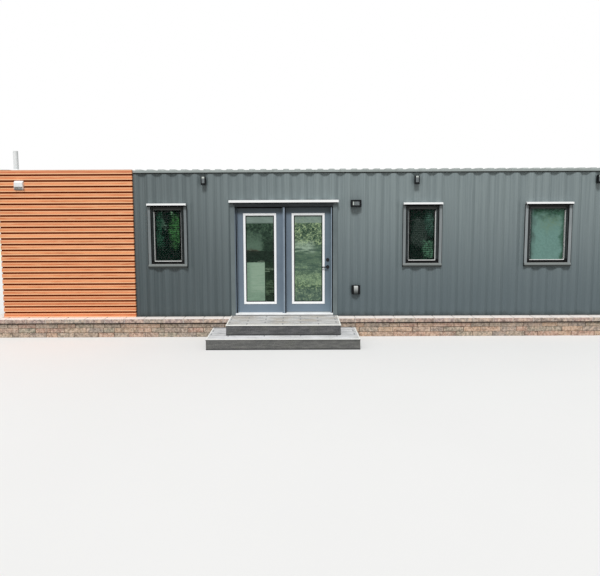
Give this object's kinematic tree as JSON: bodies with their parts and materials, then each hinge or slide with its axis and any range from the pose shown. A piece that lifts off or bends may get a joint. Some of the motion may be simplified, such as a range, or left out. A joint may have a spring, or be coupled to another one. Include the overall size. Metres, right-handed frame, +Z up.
{
  "type": "container cabin",
  "caption": "Long single-storey cabin made from a corrugated steel shipping container, with a glazed double door, side windows, a boarded end and a brick skirt.",
  "frame": {"origin": "on the ground, under the middle of the container", "axes": "+X along the front to the viewer's right, +Y from the front to the back, +Z up"},
  "size_m": [12.632, 3.764, 3.415],
  "materials": {
    "steel_paint": "satin",
    "roof_steel": "satin",
    "beam_steel": "matte",
    "concrete": "matte",
    "brick": "matte",
    "cap_brick": "matte",
    "cladding_wood": "satin",
    "floor_wood": "satin",
    "wall_board": "matte",
    "window_vinyl": "satin",
    "window_glass": "clear",
    "flashing": "satin",
    "blind": "matte",
    "door_paint": "satin",
    "threshold_white": "satin",
    "lite_white": "gloss",
    "hinge_steel": "satin",
    "lock_black": "satin",
    "fitting_grey": "satin",
    "vent_white": "satin"
  },
  "bodies": {
    "cabin": {"corner_castings": "steel_paint", "corner_posts": "steel_paint", "bottom_side_rails": "steel_paint", "top_side_rails": "steel_paint", "end_rails": "steel_paint", "front_walls": "steel_paint", "wall_over_door": "steel_paint", "back_wall": "steel_paint", "end_walls": "steel_paint", "window_surrounds": "steel_paint", "door_surround_posts": "steel_paint", "door_surround_head": "steel_paint", "roof": "roof_steel", "floor_beams": "beam_steel", "foundation": "concrete", "lower_step": "concrete", "upper_step": "concrete", "front_skirt": "brick", "back_skirt": "brick", "end_skirts": "brick", "front_cap": "cap_brick", "back_cap": "cap_brick", "end_caps": "cap_brick", "cladding": "cladding_wood", "floor_deck": "floor_wood", "front_linings": "wall_board", "lining_over_door": "wall_board", "back_lining": "wall_board", "end_linings": "wall_board", "ceiling": "wall_board", "window_frames": "window_vinyl", "window_sashes": "window_vinyl", "window_glass": "window_glass", "fixed_glass": "window_glass", "window_flashings": "flashing", "door_flashing": "flashing", "window_blinds": "blind", "fixed_leaf": "door_paint", "door_jambs": "door_paint", "door_head": "door_paint", "mullion": "door_paint", "threshold": "threshold_white", "fixed_lite_frame": "lite_white", "window_beads": "lite_white", "frame_hinges": "hinge_steel", "wall_lights": "fitting_grey", "door_lamp": "fitting_grey", "socket_cover": "fitting_grey", "vent_hood": "vent_white", "vent_pipe": "vent_white"},
    "door": {"active_leaf": "door_paint", "active_lite_frame": "lite_white", "active_glass": "window_glass", "leaf_hinges": "hinge_steel", "door_levers": "lock_black", "deadbolt": "lock_black"}
  },
  "joints": [
    {"name": "front_door", "type": "hinge", "parent": "cabin", "child": "door", "pos_m": [-0.8925, -1.0665, 1.38], "axis": [0, 0, 1], "range_deg": [0, 90]}
  ]
}
